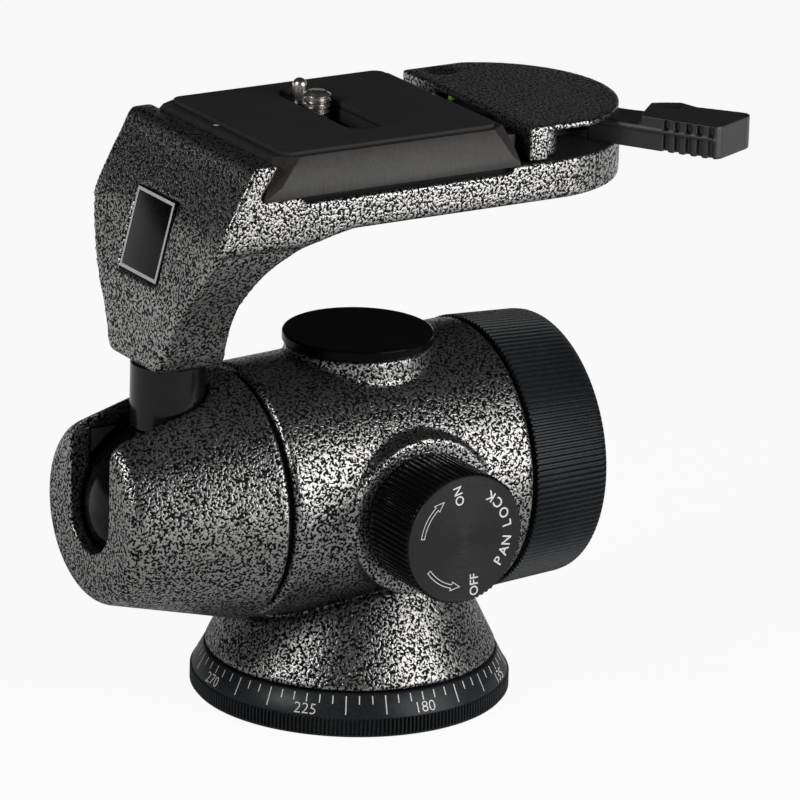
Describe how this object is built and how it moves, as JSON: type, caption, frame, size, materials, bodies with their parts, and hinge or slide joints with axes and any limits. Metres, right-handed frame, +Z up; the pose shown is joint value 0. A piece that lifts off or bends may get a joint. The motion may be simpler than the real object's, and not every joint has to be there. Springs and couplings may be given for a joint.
{
  "type": "tripod ball head",
  "caption": "Off-centre tripod ball head: graduated pan base, horizontal barrel with lock knob, side pan lock, overhanging arm and a lever clamp that holds a quick release plate.",
  "frame": {"origin": "centre of the dial's underside, on the panning axis, at the mouth of the tripod socket", "axes": "+Z up along the panning axis, +X along the barrel towards the big lock knob, -X towards the ball, -Y towards the pan lock knob"},
  "size_m": [0.1508, 0.085, 0.1422],
  "materials": {
    "hammertone_paint": "cast, under glossy mottled hammertone paint, silver on black",
    "black_anodised": "satin black anodised",
    "black_paint": "satin black",
    "polished_black": "gloss black hard anodised",
    "brushed_dark": "dark brushed",
    "steel": "turned steel",
    "nickel": "bright nickel plate",
    "bronze": "bearing bronze",
    "nylon": "matt black nylon",
    "rubber": "fine textured black rubber",
    "moulded_grey": "moulded dark grey plastic"
  },
  "bodies": {
    "base": {"dial_base": "black_anodised", "tripod_bush": "steel", "dial_friction_ring": "bronze", "pan_spindle": "steel", "spindle_washer": "steel", "spindle_nut": "steel"},
    "barrel": {"body_casting": "hammertone_paint", "top_cap": "black_anodised", "spindle_bearing": "bronze", "lock_bearing_bush": "bronze", "lock_thrust_washer": "bronze", "pan_screw_bush": "steel", "housing_retaining_ring": "steel", "seam_ring": "nylon"},
    "lock_knob": {"lock_knob": "black_anodised", "lock_knob_cap": "black_paint", "lock_knob_screw": "steel", "lock_spindle": "steel"},
    "lock_train": {"piston_cup": "bronze", "pressure_piston": "steel", "disc_spring_1": "steel", "disc_spring_2": "steel", "thrust_nut": "bronze"},
    "pan_knob": {"pan_knob": "black_anodised", "pan_knob_face": "black_anodised"},
    "pan_screw": {"pan_cone_screw": "steel"},
    "pan_brake": {"brake_pin": "steel", "brake_shoe": "bronze"},
    "housing": {"ball_housing": "hammertone_paint", "ball_seat_ring": "bronze"},
    "ball": {"ball": "polished_black"},
    "arm": {"stem": "black_anodised", "stem_bolt": "steel", "arm_casting": "hammertone_paint", "badge_plate": "polished_black", "clamp_block": "hammertone_paint", "block_screw_top": "steel", "block_screw_below": "steel", "lever_pin": "steel"},
    "lever": {"clamp_lever": "moulded_grey"},
    "jaw": {"clamp_jaw": "black_anodised"},
    "plate": {"quick_plate": "brushed_dark", "plate_pad": "rubber"},
    "screw_slider": {"screw_slider": "black_anodised", "pin_spring_cap": "steel", "pin_spring": "steel"},
    "camera_screw": {"camera_screw": "nickel"},
    "index_pin": {"index_pin": "nickel"}
  },
  "joints": [
    {"name": "pan", "type": "hinge", "parent": "base", "child": "barrel", "pos_m": [0, 0, 0], "axis": [0, 0, 1], "continuous": true},
    {"name": "lock_turn", "type": "hinge", "parent": "barrel", "child": "lock_knob", "pos_m": [0.04, 0, 0.052], "axis": [1, 0, 0], "range_deg": [0, 360]},
    {"name": "lock_feed", "type": "slide", "parent": "barrel", "child": "lock_train", "axis": [1, 0, 0], "range_m": [0, 0.0015]},
    {"name": "pan_lock_turn", "type": "hinge", "parent": "barrel", "child": "pan_knob", "pos_m": [0, -0.04, 0.05], "axis": [0, -1, 0], "range_deg": [0, 270]},
    {"name": "pan_screw_feed", "type": "slide", "parent": "barrel", "child": "pan_screw", "axis": [0, -1, 0], "range_m": [0, 0.00094]},
    {"name": "brake_lift", "type": "slide", "parent": "barrel", "child": "pan_brake", "axis": [0, 0, 1], "range_m": [0, 0.00094]},
    {"name": "housing_roll", "type": "hinge", "parent": "barrel", "child": "housing", "pos_m": [-0.033, 0, 0.052], "axis": [1, 0, 0], "range_deg": [-100, 100]},
    {"name": "ball_tilt", "type": "hinge", "parent": "housing", "child": "ball", "pos_m": [-0.0497, 0, 0.052], "axis": [0, -1, 0], "range_deg": [0, 90]},
    {"name": "arm_spin", "type": "hinge", "parent": "ball", "child": "arm", "pos_m": [-0.0497, 0, 0.052], "axis": [0, 0, 1], "continuous": true},
    {"name": "lever_turn", "type": "hinge", "parent": "arm", "child": "lever", "pos_m": [0.043, 0, 0.129], "axis": [0, 0, 1], "range_deg": [0, 100]},
    {"name": "jaw_slide", "type": "slide", "parent": "arm", "child": "jaw", "axis": [1, 0, 0], "range_m": [0, 0.0016]},
    {"name": "plate_slide", "type": "slide", "parent": "arm", "child": "plate", "axis": [0, -1, 0], "range_m": [0, 0.05]},
    {"name": "screw_slide", "type": "slide", "parent": "plate", "child": "screw_slider", "axis": [0, -1, 0], "range_m": [0, 0.019]},
    {"name": "camera_screw_turn", "type": "hinge", "parent": "screw_slider", "child": "camera_screw", "pos_m": [-0.0078, 0.0078, 0.135], "axis": [0, 0, 1], "continuous": true},
    {"name": "index_pin_press", "type": "slide", "parent": "screw_slider", "child": "index_pin", "axis": [0, 0, -1], "range_m": [0, 0.0038], "stiffness_N_per_m": 700, "springref_m": -0.002, "deforming": ["pin_spring"]}
  ],
  "couplings": [
    {"joint": "lock_feed", "follows": "lock_turn", "m_per_rad": 0.00023873},
    {"joint": "pan_screw_feed", "follows": "pan_lock_turn", "m_per_rad": 0.00019894},
    {"joint": "brake_lift", "follows": "pan_lock_turn", "m_per_rad": 0.00019894},
    {"joint": "jaw_slide", "follows": "lever_turn", "m_per_rad": 0.00091673}
  ]
}
